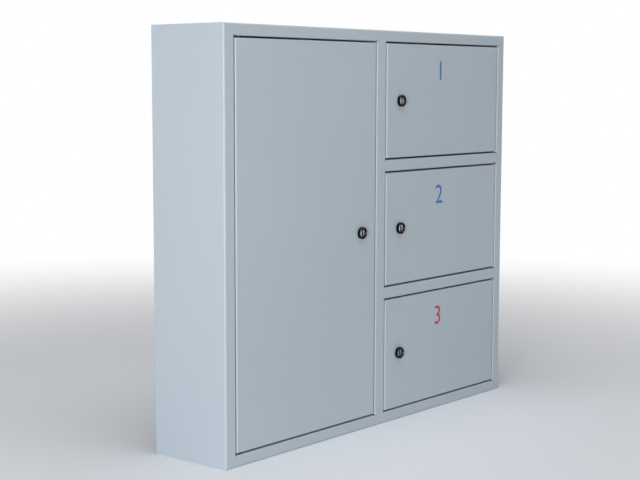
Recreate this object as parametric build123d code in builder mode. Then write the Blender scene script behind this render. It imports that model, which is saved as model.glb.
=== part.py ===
from build123d import *
import os

# Wall-mounted fibre optic splice box. A folded sheet-steel cabinet has one large door on the left, for the
# splice trays and the cable entries, and three small doors on the right, one for each splitter compartment.
# Millimetres, +Z up, the front faces -Y. The origin is the middle of the wall-fixing holes on the back face.

# Cabinet
width = 680.0
height = 600.0
depth = 136.0
sheet = 1.2
fold = 2.6
window_fold = 1.8
relief_notch = 2.4

# Front frame, from the outer edge inwards
left_stile = 20.0
right_stile = 18.5
rail = 16.5
mullion_width = 22.0
transom_height = 17.5
large_window_width = 311.0
small_count = 3
frame_return = 16.0

# Doors
door_gap = 2.5
door_return = 14.0
door_fold = 2.0
pivot_inset = 11.5
pivot_behind = 6.0

# Pivot hinges
pin_radius = 2.5
pin_clearance = 0.05
door_pin_ease = 0.3
pin_head_radius = 4.5
pin_head = 2.0
pin_engagement = 20.0
knuckle_length = 26.0
knuckle_radius = 4.5
knuckle_foot_width = 18.0
knuckle_foot = 1.5

# Cam locks
lock_from_mullion = 37.0
lock_head_radius = 9.0
lock_head = 5.0
lock_head_bevel = 1.0
lock_barrel_radius = 8.0
lock_barrel_flat = 14.0
lock_barrel_end = 16.5
lock_hole_clearance = 0.1
lock_nut_across_flats = 21.0
lock_nut_height = 4.0
plug_radius = 6.0
plug_clearance = 0.06
plug_recess = 0.5
plug_end = 17.7
key_slot_width = 1.6
key_slot_height = 7.5
key_slot_depth = 5.0
cam_sheet = 2.0
cam_reach = 34.0
cam_hub_radius = 8.5
cam_tip_radius = 6.0
cam_square = 7.0
cam_square_clearance = 0.1
cam_screw_radius = 2.0
cam_screw_head_radius = 5.5
cam_screw_head = 2.4
cam_screw_depth = 10.0

# Wall fixing and strike strip
fixing_spacing_x = 600.0
fixing_spacing_z = 500.0
fixing_hole_radius = 4.5
strike_overlap = 9.0
strike_end = 292.0

# Partition and shelves
inner_flange = 12.0
inner_bend = 1.8
pass_y = -62.0
pass_width = 44.0
pass_height = 26.0
pass_frame_wall = 1.5
pass_frame_lip = 3.0
pass_frame_flange = 1.5

# Cable entry
gland_x = -165.0
gland_y = -62.0
gland_plate_width = 270.0
gland_plate_depth = 96.0
gland_plate_sheet = 2.0
gland_cut_width = 236.0
gland_cut_depth = 66.0
gland_screw_span_x = 252.0
gland_screw_span_y = 82.0
cable_radius = 10.0
drop_radius = 5.0
large_entry_offset = 24.0
small_entry_offset = 76.0
large_entry_hole = 15.0
small_entry_hole = 9.5
grommet_lip = 3.0
grommet_under = 1.0
grommet_nose = 9.0
grommet_wall = 2.0

# Screws, studs and nuts
screw_radius = 2.5
screw_hole_radius = 2.6
screw_head_radius = 4.6
screw_head = 2.6
earth_x = -300.0
earth_z = -185.0
earth_radius = 4.0
earth_length = 26.0
earth_point = 0.8
earth_nut_across_flats = 13.0
earth_nut_height = 6.5
earth_flange_radius = 8.5
earth_flange = 1.6

# Cable clamping
bracket_sheet = 1.5
bracket_bend = 2.5
bracket_foot = 16.0
clamp_bar_span = 228.0
clamp_bar_height = 24.0
clamp_bar_z = -215.0
clamp_foot = 10.5
clamp_band = 14.0
clamp_sheet = 1.2
clamp_ease = 0.5

# Splice trays
tray_count = 3
tray_x = -165.0
tray_z = 190.0
tray_width = 214.0
tray_height = 122.0
tray_corner = 26.0
tray_pitch = 10.0
tray_floor = 1.4
tray_wall = 1.6
tray_rim = 8.5
tray_standoff = 12.0
tray_standoff_radius = 5.0
tray_stud_spacing = 124.0
tray_boss_radius = 6.0
tray_boss_hole = 2.8
tray_guide_radius = 26.0
tray_guide_height = 6.5
tray_guide_gap = 14.0
tray_entry_width = 16.0
tray_entry_offset = 78.0
tray_tab_length = 7.0
tray_tab_width = 9.0
tray_tab = 1.2
comb_slots = 12
comb_pitch = 3.6
comb_finger = 1.0
comb_length = 34.0
comb_height = 5.5
wing_nut_radius = 5.0
wing_nut_hub = 7.0
wing_foot = 2.6
wing_root = 2.5
wing_inner = 8.5
wing_outer = 12.5
wing_rise = 6.0
wing_sheet = 2.4
stud_tip = 14.0

# Adapter panel
adapter_count = 12
adapter_pitch = 15.0
adapter_panel_z = 52.0
adapter_panel_height = 46.0
adapter_panel_face = -62.0
adapter_panel_span = 204.0
adapter_width = 9.2
adapter_height = 13.0
adapter_fit = 0.2
adapter_front = 12.0
adapter_rear = 14.0
adapter_flange_width = 12.0
adapter_flange_height = 22.0
adapter_flange = 2.0
socket_width = 6.6
socket_height = 9.4
socket_depth = 8.0
cap_fit = 0.1
cap_plug = 6.0
cap_head = 5.0
cap_rim = 0.8

# Winding spools
spool_z = -78.0
spool_spacing = 132.0
spool_radius = 30.0
spool_depth = 38.0
spool_ear_count = 4
spool_ear_start = 45.0
spool_ear_length = 14.0
spool_ear_width = 14.0
spool_ear = 2.0

# Splitter modules
module_x = 175.0
module_drop = 36.0
module_width = 130.0
module_depth = 76.0
module_height = 26.0
module_round = 2.0
module_back = -6.0
module_flange_width = 150.0
module_flange_height = 31.0
module_flange = 2.5
module_ports = 9
module_port_pitch = 13.8
module_port_front = 10.0
splitter_side = 18.0
splitter_back = 42.0
splitter_fit = 0.5

# Places that follow from the driving dimensions
window_bottom = -height / 2 + rail
window_top = height / 2 - rail
window_height = window_top - window_bottom
large_left = -width / 2 + left_stile
large_right = large_left + large_window_width
small_left = large_right + mullion_width
small_right = width / 2 - right_stile
mullion_x = (large_right + small_left) / 2
small_height = (window_height - (small_count - 1) * transom_height) / small_count
small_step = small_height + transom_height
inner_x = width / 2 - sheet
inner_z = height / 2 - sheet
panel_face = -sheet
strike_back = -depth + frame_return + sheet
gland_plate_bottom = -inner_z
gland_plate_top = gland_plate_bottom + gland_plate_sheet
tray_back = panel_face - tray_standoff
clamp_bar_face = gland_y + cable_radius
lock_face = -depth - lock_head
cam_hole = cam_square + cam_square_clearance

# Each window: left, right, bottom, top, and which side its door hangs on (-1 left, 1 right)
windows = {"large_door": (large_left, large_right, window_bottom, window_top, -1)}
for number in range(small_count):
    small_top = window_top - number * small_step
    windows[f"small_door_{number + 1}"] = (small_left, small_right, small_top - small_height, small_top, 1)

compartment_z = [window_top - small_height / 2 - number * small_step for number in range(small_count)]
transom_z = [window_top - (number + 1) * small_step + transom_height / 2 for number in range(small_count - 1)]
small_entries = [side * small_entry_offset for side in (-1, 1)]
large_entries = [side * large_entry_offset for side in (-1, 1)]
gland_screws = [
    (gland_x + across * gland_screw_span_x / 2, gland_y + along * gland_screw_span_y / 2)
    for across in (-1, 1)
    for along in (-1, 1)
]
clamp_foot_centre = cable_radius + clamp_ease + clamp_sheet + clamp_foot / 2
clamp_feet = [gland_x + entry + side * clamp_foot_centre for entry in large_entries for side in (-1, 1)]
spool_places = [(tray_x + side * spool_spacing / 2, spool_z) for side in (-1, 1)]


def behind_front(distance):
    """Plane parallel to the front, this far behind it, facing the front."""
    return Plane.XZ.offset(depth - distance)


def at_y(y):
    """Plane parallel to the front at this Y, facing the front."""
    return Plane.XZ.offset(-y)


def window_size(window):
    """Width, height and middle of a window or door given by its sides."""
    left, right, bottom, top, _ = window
    return right - left, top - bottom, (left + right) / 2, (bottom + top) / 2


def door_sides(window):
    """Sides of the door that stands in a window with the gap all round."""
    left, right, bottom, top, side = window
    return left + door_gap, right - door_gap, bottom + door_gap, top - door_gap, side


def pivot_x(window):
    """X of the hinge pins of the door in a window."""
    left, right, _, _, side = door_sides(window)
    return left + pivot_inset if side < 0 else right - pivot_inset


def lock_centre(window):
    """X and Z of the lock of the door in a window."""
    left, right, bottom, top, side = window
    x = right - lock_from_mullion if side < 0 else left + lock_from_mullion
    return x, (bottom + top) / 2


def barrel_profile(clearance):
    """Round lock barrel with two flats, eased by the clearance."""
    with BuildSketch(mode=Mode.PRIVATE) as profile:
        Circle(lock_barrel_radius + clearance)
        Rectangle(lock_barrel_flat + 2 * clearance, 2 * lock_head_radius, mode=Mode.INTERSECT)
    return profile.sketch


pivot_y = -depth + pivot_behind
pin_ends = []
for window in windows.values():
    pin_ends += [(pivot_x(window), window[3], 1), (pivot_x(window), window[2], -1)]

os.makedirs("parts", exist_ok=True)

# Cabinet shell: the front and the four sides folded from one sheet, with a return round each window
with BuildPart() as cabinet_shell:
    with BuildSketch(Plane.XZ):
        Rectangle(width, height)
    extrude(amount=depth)
    fillet(cabinet_shell.faces().sort_by(Axis.Y)[0].edges(), fold)
    offset(amount=-sheet, openings=cabinet_shell.faces().sort_by(Axis.Y)[-1])
    with BuildSketch(behind_front(frame_return)):
        for window in windows.values():
            opening_width, opening_height, middle_x, middle_z = window_size(window)
            with Locations((middle_x, middle_z)):
                Rectangle(opening_width + 2 * sheet, opening_height + 2 * sheet)
    extrude(amount=frame_return - sheet / 2)
    with BuildSketch(behind_front(0)):
        for window in windows.values():
            opening_width, opening_height, middle_x, middle_z = window_size(window)
            with Locations((middle_x, middle_z)):
                Rectangle(opening_width, opening_height)
    extrude(amount=-frame_return, mode=Mode.SUBTRACT)
    front_face = cabinet_shell.faces().filter_by(Axis.Y).sort_by(Axis.Y)[0]
    fillet([edge for wire in front_face.inner_wires() for edge in wire.edges()], window_fold)
    with BuildSketch(behind_front(0)):
        for window in windows.values():
            opening_width, opening_height, middle_x, middle_z = window_size(window)
            with Locations((middle_x, middle_z)):
                with GridLocations(opening_width, opening_height, 2, 2):
                    Rectangle(relief_notch, relief_notch)
    extrude(amount=-frame_return, mode=Mode.SUBTRACT)
    for x, z, side in pin_ends:
        with BuildSketch(Plane.XY.offset(z + side * sheet / 2)):
            with Locations((x, pivot_y)):
                Circle(pin_radius + pin_clearance)
        extrude(amount=sheet, both=True, mode=Mode.SUBTRACT)
    with BuildSketch(Plane.XY.offset(-height / 2)):
        with Locations((gland_x, gland_y)):
            Rectangle(gland_cut_width, gland_cut_depth)
        with Locations(*gland_screws):
            Circle(screw_hole_radius)
    extrude(amount=sheet, mode=Mode.SUBTRACT)
cabinet_shell.part.label = "cabinet_shell"
export_step(cabinet_shell.part, "parts/cabinet_shell.step")

# Brackets that stand on the back panel: middle X, middle Z, face Y, span of the face
clamp_bar_place = (gland_x, clamp_bar_z, clamp_bar_face, clamp_bar_span, clamp_bar_height)
adapter_place = (tray_x, adapter_panel_z, adapter_panel_face, adapter_panel_span, adapter_panel_height)


def hat_bracket(place):
    """Strip folded into a hat, its feet welded to the back panel and its face at the given Y."""
    middle_x, middle_z, face_y, span, strip = place
    foot_y = panel_face - bracket_sheet / 2
    top_y = face_y + bracket_sheet / 2
    leg_x = span / 2 + bracket_sheet / 2
    toe_x = leg_x + bracket_foot
    corners = [(-toe_x, foot_y), (-leg_x, foot_y), (-leg_x, top_y)]
    corners += [(-x, y) for x, y in reversed(corners)]
    with BuildPart() as bracket:
        with BuildSketch(Plane((middle_x, 0, middle_z - strip / 2), x_dir=(1, 0, 0), z_dir=(0, 0, 1))):
            with BuildLine():
                FilletPolyline(*corners, radius=bracket_bend)
            trace(line_width=bracket_sheet)
        extrude(amount=strip)
    return bracket.part


# Back panel, welded in flush with the rear edge of the shell
with BuildPart() as back_panel:
    with BuildSketch(Plane.XZ):
        Rectangle(2 * inner_x, 2 * inner_z)
        with GridLocations(fixing_spacing_x, fixing_spacing_z, 2, 2):
            Circle(fixing_hole_radius, mode=Mode.SUBTRACT)
        with Locations(*spool_places):
            Circle(screw_hole_radius, mode=Mode.SUBTRACT)
    extrude(amount=sheet)
back_panel.part.label = "back_panel"
export_step(back_panel.part, "parts/back_panel.step")

# Strike strip across the back of the mullion: it stops both rows of doors and takes their cams
with BuildPart() as strike_strip:
    with BuildSketch(behind_front(frame_return + sheet)):
        with Locations((mullion_x, 0)):
            Rectangle(mullion_width + 2 * strike_overlap, 2 * strike_end)
    extrude(amount=sheet)
strike_strip.part.label = "strike_strip"
export_step(strike_strip.part, "parts/strike_strip.step")

# Partition between the large compartment and the three small ones
with BuildPart() as partition:
    with BuildSketch(Plane.XY.offset(-inner_z)):
        with BuildLine():
            FilletPolyline(
                (mullion_x - inner_flange, strike_back + sheet / 2),
                (mullion_x, strike_back + sheet / 2),
                (mullion_x, panel_face - sheet / 2),
                (mullion_x - inner_flange, panel_face - sheet / 2),
                radius=inner_bend,
            )
        trace(line_width=sheet)
    extrude(amount=2 * inner_z)
    with BuildSketch(Plane.YZ.offset(mullion_x - sheet / 2)):
        with Locations(*[(pass_y, z) for z in compartment_z]):
            Rectangle(pass_width, pass_height)
    extrude(amount=sheet, mode=Mode.SUBTRACT)
partition.part.label = "partition"
export_step(partition.part, "parts/partition.step")

# Shelves behind the transoms, notched round the strike strip
shelf_start = mullion_x + sheet / 2
shelf_flange = transom_height / 2 - window_fold
for name, shelf_z in zip(("shelf_upper", "shelf_lower"), transom_z):
    with BuildPart() as shelf:
        with BuildSketch(Plane.YZ.offset(shelf_start)):
            with BuildLine():
                FilletPolyline(
                    (strike_back - sheet / 2, shelf_z - shelf_flange),
                    (strike_back - sheet / 2, shelf_z),
                    (panel_face - sheet / 2, shelf_z),
                    (panel_face - sheet / 2, shelf_z + inner_flange),
                    radius=inner_bend,
                )
            trace(line_width=sheet)
        extrude(amount=inner_x - shelf_start)
        with BuildSketch(Plane.XY.offset(shelf_z - transom_height)):
            with Locations((mullion_x, strike_back - sheet / 2)):
                Rectangle(mullion_width + 2 * strike_overlap, sheet)
        extrude(amount=2 * transom_height, mode=Mode.SUBTRACT)
    shelf.part.label = name
    export_step(shelf.part, f"parts/{name}.step")

# Gland plate over the cut-out in the floor of the large compartment
with BuildPart() as gland_plate:
    with BuildSketch(Plane.XY.offset(gland_plate_bottom)):
        with Locations((gland_x, gland_y)):
            Rectangle(gland_plate_width, gland_plate_depth)
        with Locations(*gland_screws):
            Circle(screw_hole_radius, mode=Mode.SUBTRACT)
        with Locations(*[(gland_x + entry, gland_y) for entry in large_entries]):
            Circle(large_entry_hole, mode=Mode.SUBTRACT)
        with Locations(*[(gland_x + entry, gland_y) for entry in small_entries]):
            Circle(small_entry_hole, mode=Mode.SUBTRACT)
    extrude(amount=gland_plate_sheet)
gland_plate.part.label = "gland_plate"
export_step(gland_plate.part, "parts/gland_plate.step")

entries = [(entry, large_entry_hole, cable_radius) for entry in large_entries]
entries += [(entry, small_entry_hole, drop_radius) for entry in small_entries]

# Rubber cable grommets in the gland plate, each with a tapered nose round its bore
with BuildPart() as cable_grommets:
    for entry, hole, bore in entries:
        foot = (gland_x + entry, gland_y, gland_plate_bottom)
        with BuildSketch(Plane(foot, x_dir=(1, 0, 0), z_dir=(0, -1, 0))):
            with BuildLine():
                Polyline(
                    (bore, -grommet_under),
                    (hole + grommet_lip, -grommet_under),
                    (hole + grommet_lip, 0),
                    (hole, 0),
                    (hole, gland_plate_sheet),
                    (hole + grommet_lip, gland_plate_sheet),
                    (bore + grommet_wall, gland_plate_sheet + grommet_nose),
                    (bore, gland_plate_sheet + grommet_nose),
                    close=True,
                )
            make_face()
        revolve(axis=Axis(foot, (0, 0, 1)))
cable_grommets.part.label = "cable_grommets"
export_step(cable_grommets.part, "parts/cable_grommets.step")

# Snap-in frames that edge the three cable passes in the partition
with BuildPart() as pass_frames:
    bore_width = pass_width - 2 * pass_frame_wall
    bore_height = pass_height - 2 * pass_frame_wall
    for face_x, direction in ((mullion_x - sheet / 2, -1), (mullion_x + sheet / 2, 1)):
        with BuildSketch(Plane.YZ.offset(face_x)):
            with Locations(*[(pass_y, z) for z in compartment_z]):
                Rectangle(pass_width + 2 * pass_frame_lip, pass_height + 2 * pass_frame_lip)
        extrude(amount=direction * pass_frame_flange)
    with BuildSketch(Plane.YZ.offset(mullion_x)):
        with Locations(*[(pass_y, z) for z in compartment_z]):
            Rectangle(pass_width, pass_height)
    extrude(amount=sheet / 2, both=True)
    with BuildSketch(Plane.YZ.offset(mullion_x)):
        with Locations(*[(pass_y, z) for z in compartment_z]):
            Rectangle(bore_width, bore_height)
    extrude(amount=sheet + pass_frame_flange, both=True, mode=Mode.SUBTRACT)
pass_frames.part.label = "pass_frames"
export_step(pass_frames.part, "parts/pass_frames.step")

# Headed hinge pins, dropped through the window returns into the door knuckles
with BuildPart() as hinge_pins:
    for x, z, side in pin_ends:
        with BuildSketch(Plane.XY.offset(z + side * sheet)):
            with Locations((x, pivot_y)):
                Circle(pin_head_radius)
        extrude(amount=side * pin_head)
        with BuildSketch(Plane.XY.offset(z + side * sheet)):
            with Locations((x, pivot_y)):
                Circle(pin_radius)
        extrude(amount=-side * (sheet + door_gap + sheet + pin_engagement))
hinge_pins.part.label = "hinge_pins"
export_step(hinge_pins.part, "parts/hinge_pins.step")

# Earthing stud on the back panel
with BuildPart() as earth_stud:
    with BuildSketch(at_y(panel_face)):
        with Locations((earth_x, earth_z)):
            Circle(earth_radius)
    extrude(amount=earth_length)
    chamfer(earth_stud.faces().sort_by(Axis.Y)[0].edges(), earth_point)
earth_stud.part.label = "earth_stud"
export_step(earth_stud.part, "parts/earth_stud.step")

# Flange nut on the earthing stud
with BuildPart() as earth_nut:
    with BuildSketch(at_y(panel_face)):
        with Locations((earth_x, earth_z)):
            Circle(earth_flange_radius)
    extrude(amount=earth_flange)
    with BuildSketch(at_y(panel_face - earth_flange)):
        with Locations((earth_x, earth_z)):
            RegularPolygon(earth_nut_across_flats / 2, 6, major_radius=False)
    extrude(amount=earth_nut_height)
    with BuildSketch(at_y(panel_face)):
        with Locations((earth_x, earth_z)):
            Circle(earth_radius)
    extrude(amount=earth_flange + earth_nut_height, mode=Mode.SUBTRACT)
earth_nut.part.label = "earth_nut"
export_step(earth_nut.part, "parts/earth_nut.step")

# Hat bar that the incoming cables are clamped to
clamp_bar = hat_bracket(clamp_bar_place)
clamp_bar.label = "clamp_bar"
export_step(clamp_bar, "parts/clamp_bar.step")

# Saddle clamps over the two large cables
with BuildPart() as cable_clamps:
    for entry in large_entries:
        saddle_radius = cable_radius + clamp_ease + clamp_sheet / 2
        saddle_y = clamp_bar_face - gland_y - clamp_sheet / 2
        toe = saddle_radius + clamp_foot
        foot = (gland_x + entry, gland_y, clamp_bar_z - clamp_band / 2)
        with BuildSketch(Plane(foot, x_dir=(1, 0, 0), z_dir=(0, 0, 1))):
            with BuildLine():
                Polyline((-toe, saddle_y), (-saddle_radius, saddle_y), (-saddle_radius, 0))
                ThreePointArc((-saddle_radius, 0), (0, -saddle_radius), (saddle_radius, 0))
                Polyline((saddle_radius, 0), (saddle_radius, saddle_y), (toe, saddle_y))
            trace(line_width=clamp_sheet)
        extrude(amount=clamp_band)
        with BuildSketch(at_y(clamp_bar_face)):
            with Locations(*[(x, clamp_bar_z) for x in clamp_feet]):
                Circle(screw_hole_radius)
        extrude(amount=clamp_sheet, mode=Mode.SUBTRACT)
cable_clamps.part.label = "cable_clamps"
export_step(cable_clamps.part, "parts/cable_clamps.step")


def screw(seat, reach):
    """Pan-head screw seated on a plane that faces away from the sheet, reaching back through it."""
    with BuildPart(mode=Mode.PRIVATE) as fastener:
        with BuildSketch(seat):
            Circle(screw_head_radius)
        extrude(amount=screw_head)
        with BuildSketch(seat):
            Circle(screw_radius)
        extrude(amount=-reach)
    return fastener.part


forward = (0, -1, 0)
upward = (0, 0, 1)
screw_seats = []
for x, y in gland_screws:
    screw_seats.append((Plane((x, y, gland_plate_top), z_dir=upward), gland_plate_sheet + sheet))
for x, z in spool_places:
    screw_seats.append((Plane((x, panel_face - spool_depth, z), z_dir=forward), spool_depth + sheet))
for x in clamp_feet:
    screw_seats.append((Plane((x, clamp_bar_face - clamp_sheet, clamp_bar_z), z_dir=forward), clamp_sheet))

# Pan-head screws that hold the gland plate, the spools and the saddle clamps
with BuildPart() as pan_head_screws:
    for seat, reach in screw_seats:
        add(screw(seat, reach))
pan_head_screws.part.label = "pan_head_screws"
export_step(pan_head_screws.part, "parts/pan_head_screws.step")

tray_stud_places = [(tray_x + side * tray_stud_spacing / 2, tray_z) for side in (-1, 1)]

# Two shouldered studs that carry the splice trays
with BuildPart() as tray_studs:
    with BuildSketch(at_y(panel_face)):
        with Locations(*tray_stud_places):
            RegularPolygon(tray_standoff_radius, 6, major_radius=False)
    extrude(amount=tray_standoff)
    with BuildSketch(at_y(tray_back)):
        with Locations(*tray_stud_places):
            Circle(screw_radius)
    extrude(amount=tray_count * tray_pitch + stud_tip)
tray_studs.part.label = "tray_studs"
export_step(tray_studs.part, "parts/tray_studs.step")


def splice_tray(back_y):
    """Moulded tray: rim with fibre entries, two bend guides round the bosses and a comb for the splices."""
    comb_width = comb_slots * comb_pitch
    with BuildPart() as tray:
        with BuildSketch(at_y(back_y)):
            with Locations((tray_x, tray_z)):
                RectangleRounded(tray_width, tray_height, tray_corner)
        extrude(amount=tray_floor)
        with BuildSketch(at_y(back_y - tray_floor)):
            with Locations((tray_x, tray_z)):
                RectangleRounded(tray_width, tray_height, tray_corner)
                inner_corner = tray_corner - tray_wall
                RectangleRounded(
                    tray_width - 2 * tray_wall, tray_height - 2 * tray_wall, inner_corner, mode=Mode.SUBTRACT
                )
                with Locations((-tray_entry_offset, 0), (tray_entry_offset, 0)):
                    Rectangle(tray_entry_width, 2 * tray_height, mode=Mode.SUBTRACT)
        extrude(amount=tray_rim - tray_floor)
        with BuildSketch(at_y(back_y - tray_floor)):
            with Locations(*tray_stud_places):
                Circle(tray_guide_radius)
                Circle(tray_guide_radius - tray_wall, mode=Mode.SUBTRACT)
                Rectangle(tray_guide_gap, 2 * tray_height, mode=Mode.SUBTRACT)
        extrude(amount=tray_guide_height - tray_floor)
        with BuildSketch(at_y(back_y - tray_floor)):
            with Locations(*tray_stud_places):
                Circle(tray_boss_radius)
        extrude(amount=tray_pitch - tray_floor)
        with BuildSketch(at_y(back_y - tray_floor)):
            with Locations((tray_x, tray_z)):
                with GridLocations(0, comb_pitch, 1, comb_slots + 1):
                    Rectangle(comb_length, comb_finger)
        extrude(amount=comb_height - tray_floor)
        with BuildSketch(at_y(back_y - tray_rim + tray_tab)):
            with Locations((tray_x, tray_z)):
                with GridLocations(comb_width, tray_height - tray_tab_length, 2, 2):
                    Rectangle(tray_tab_width, tray_tab_length)
                with GridLocations(tray_width - tray_tab_length, 0, 2, 1):
                    Rectangle(tray_tab_length, tray_tab_width)
        extrude(amount=tray_tab)
        with BuildSketch(at_y(back_y)):
            with Locations(*tray_stud_places):
                Circle(tray_boss_hole)
        extrude(amount=tray_pitch, mode=Mode.SUBTRACT)
    return tray.part


# Splice trays, stacked boss on boss
for layer in range(tray_count):
    tray = splice_tray(tray_back - layer * tray_pitch)
    tray.label = f"splice_tray_{layer + 1}"
    export_step(tray, f"parts/splice_tray_{layer + 1}.step")

# Wing nuts that close the tray stack
with BuildPart() as wing_nuts:
    nut_back = tray_back - tray_count * tray_pitch
    with BuildSketch(at_y(nut_back)):
        with Locations(*tray_stud_places):
            Circle(wing_nut_radius)
    extrude(amount=wing_nut_hub)
    for x, z in tray_stud_places:
        with BuildSketch(Plane((x, nut_back, z - wing_sheet / 2), x_dir=(1, 0, 0), z_dir=(0, 0, 1))):
            with BuildLine():
                Polyline(
                    (-wing_outer, -wing_nut_hub - wing_rise),
                    (-wing_root, -wing_foot),
                    (wing_root, -wing_foot),
                    (wing_outer, -wing_nut_hub - wing_rise),
                    (wing_inner, -wing_nut_hub - wing_rise),
                    (wing_root, -wing_nut_hub),
                    (-wing_root, -wing_nut_hub),
                    (-wing_inner, -wing_nut_hub - wing_rise),
                    close=True,
                )
            make_face()
        extrude(amount=wing_sheet)
    with BuildSketch(at_y(nut_back)):
        with Locations(*tray_stud_places):
            Circle(screw_radius)
    extrude(amount=wing_nut_hub, mode=Mode.SUBTRACT)
wing_nuts.part.label = "wing_nuts"
export_step(wing_nuts.part, "parts/wing_nuts.step")

first_adapter_x = tray_x - (adapter_count - 1) / 2 * adapter_pitch
adapter_row = [(first_adapter_x + index * adapter_pitch, adapter_panel_z) for index in range(adapter_count)]

# Hat panel with a cut-out for each fibre adapter
with BuildPart() as adapter_panel:
    add(hat_bracket(adapter_place))
    with BuildSketch(at_y(adapter_panel_face)):
        with Locations(*adapter_row):
            Rectangle(adapter_width + adapter_fit, adapter_height + adapter_fit)
    extrude(amount=-bracket_sheet, mode=Mode.SUBTRACT)
adapter_panel.part.label = "adapter_panel"
export_step(adapter_panel.part, "parts/adapter_panel.step")

# Fibre adapters, flange against the panel, with a socket in the front
with BuildPart() as fibre_adapters:
    with BuildSketch(at_y(adapter_panel_face + adapter_rear)):
        with Locations(*adapter_row):
            Rectangle(adapter_width, adapter_height)
    extrude(amount=adapter_rear + adapter_front)
    with BuildSketch(at_y(adapter_panel_face)):
        with Locations(*adapter_row):
            Rectangle(adapter_flange_width, adapter_flange_height)
    extrude(amount=adapter_flange)
    with BuildSketch(at_y(adapter_panel_face - adapter_front)):
        with Locations(*adapter_row):
            Rectangle(socket_width, socket_height)
    extrude(amount=-socket_depth, mode=Mode.SUBTRACT)
fibre_adapters.part.label = "fibre_adapters"
export_step(fibre_adapters.part, "parts/fibre_adapters.step")

# Dust caps in the adapters
with BuildPart() as dust_caps:
    with BuildSketch(at_y(adapter_panel_face - adapter_front)):
        with Locations(*adapter_row):
            Rectangle(adapter_width - cap_rim, adapter_height - cap_rim)
    extrude(amount=cap_head)
    with BuildSketch(at_y(adapter_panel_face - adapter_front)):
        with Locations(*adapter_row):
            Rectangle(socket_width - cap_fit, socket_height - cap_fit)
    extrude(amount=-cap_plug)
dust_caps.part.label = "dust_caps"
export_step(dust_caps.part, "parts/dust_caps.step")

# Winding spools for spare fibre, each a moulded hub with ears round its front
with BuildPart() as winding_spools:
    with BuildSketch(at_y(panel_face)):
        with Locations(*spool_places):
            Circle(spool_radius)
    extrude(amount=spool_depth)
    with BuildSketch(at_y(panel_face - spool_depth + spool_ear)):
        with Locations(*spool_places):
            with PolarLocations(spool_radius, spool_ear_count, start_angle=spool_ear_start):
                Rectangle(2 * spool_ear_length, spool_ear_width)
    extrude(amount=spool_ear)
    with BuildSketch(at_y(panel_face)):
        with Locations(*spool_places):
            Circle(screw_hole_radius)
    extrude(amount=spool_depth, mode=Mode.SUBTRACT)
winding_spools.part.label = "winding_spools"
export_step(winding_spools.part, "parts/winding_spools.step")

for number, compartment in enumerate(compartment_z, start=1):
    module_bottom = compartment - module_drop - module_height / 2
    base_z = module_bottom - bracket_sheet

    # Splitter bracket: a folded cradle welded to the back panel
    with BuildPart() as splitter_bracket:
        cradle_width = module_width + 2 * splitter_fit + 2 * bracket_sheet
        with BuildSketch(at_y(panel_face)):
            with Locations((module_x, base_z + splitter_back / 2)):
                Rectangle(cradle_width, splitter_back)
        extrude(amount=bracket_sheet)
        with BuildSketch(at_y(panel_face)):
            with Locations((module_x, base_z + splitter_side / 2)):
                Rectangle(cradle_width, splitter_side)
            with Locations((module_x, base_z + bracket_sheet + splitter_side / 2)):
                Rectangle(cradle_width - 2 * bracket_sheet, splitter_side, mode=Mode.SUBTRACT)
        extrude(amount=-module_back + module_depth + panel_face)
    splitter_bracket.part.label = f"splitter_bracket_{number}"
    export_step(splitter_bracket.part, f"parts/splitter_bracket_{number}.step")

    # Splitter module: a closed moulded cassette with a row of capped ports
    module_front = module_back - module_depth
    module_middle = compartment - module_drop
    first_port_x = module_x - (module_ports - 1) / 2 * module_port_pitch
    port_row = [(first_port_x + port * module_port_pitch, module_middle) for port in range(module_ports)]
    with BuildPart() as splitter_module:
        with BuildSketch(at_y(module_back)):
            with Locations((module_x, module_middle)):
                RectangleRounded(module_width, module_height, module_round)
        extrude(amount=module_depth)
        with BuildSketch(at_y(module_front)):
            with Locations((module_x, module_middle)):
                RectangleRounded(module_flange_width, module_flange_height, module_round)
        extrude(amount=module_flange)
        with BuildSketch(at_y(module_front - module_flange)):
            with Locations(*port_row):
                Rectangle(adapter_width, adapter_height)
        extrude(amount=module_port_front)
        with BuildSketch(at_y(module_front - module_flange - module_port_front)):
            with Locations(*port_row):
                Rectangle(adapter_width - cap_rim, adapter_height - cap_rim)
        extrude(amount=cap_head)
    splitter_module.part.label = f"splitter_module_{number}"
    export_step(splitter_module.part, f"parts/splitter_module_{number}.step")

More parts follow.
